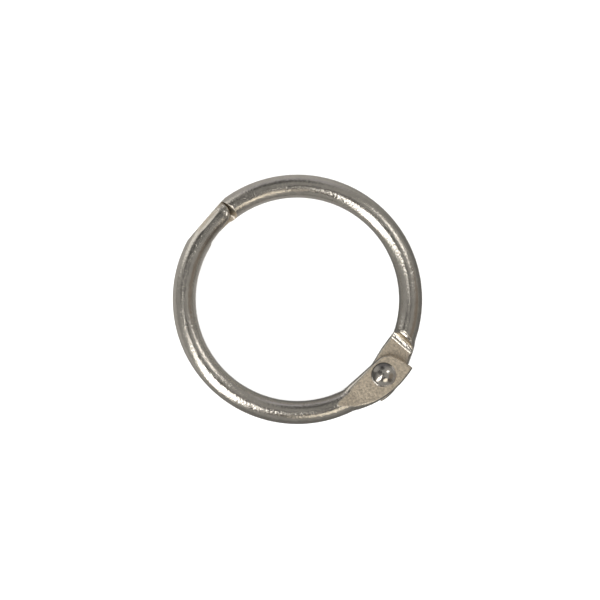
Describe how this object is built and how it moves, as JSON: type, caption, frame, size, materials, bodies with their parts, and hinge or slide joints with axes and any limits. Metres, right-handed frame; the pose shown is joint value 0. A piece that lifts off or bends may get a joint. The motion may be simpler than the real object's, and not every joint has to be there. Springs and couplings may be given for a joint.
{
  "type": "hinged binder ring",
  "caption": "Round wire ring in two riveted halves that swing open at a flat hinge and close at a hooked lap clasp, for holding punched sheets.",
  "frame": {"origin": "centre of the closed ring, on its axis and in the plane where the two halves meet", "axes": "+Z along the ring's axis, towards the rivet's domed head; +X from the ring's centre to the rivet; -X to the clasp"},
  "size_m": [0.0318, 0.0312, 0.0034],
  "materials": {
    "nickel_plate": "bright nickel plate on steel wire, faintly pitted, satin on the pressed plates",
    "rivet_nickel": "bright nickel plate on a steel rivet"
  },
  "bodies": {
    "lower": {"lower_half_ring": "nickel_plate", "hinge_rivet": "rivet_nickel"},
    "upper": {"upper_half_ring": "nickel_plate"}
  },
  "joints": [
    {"name": "ring_hinge", "type": "hinge", "parent": "lower", "child": "upper", "pos_m": [0.0144, 0, 0], "axis": [0, 0, 1], "range_deg": [0, 150]}
  ]
}
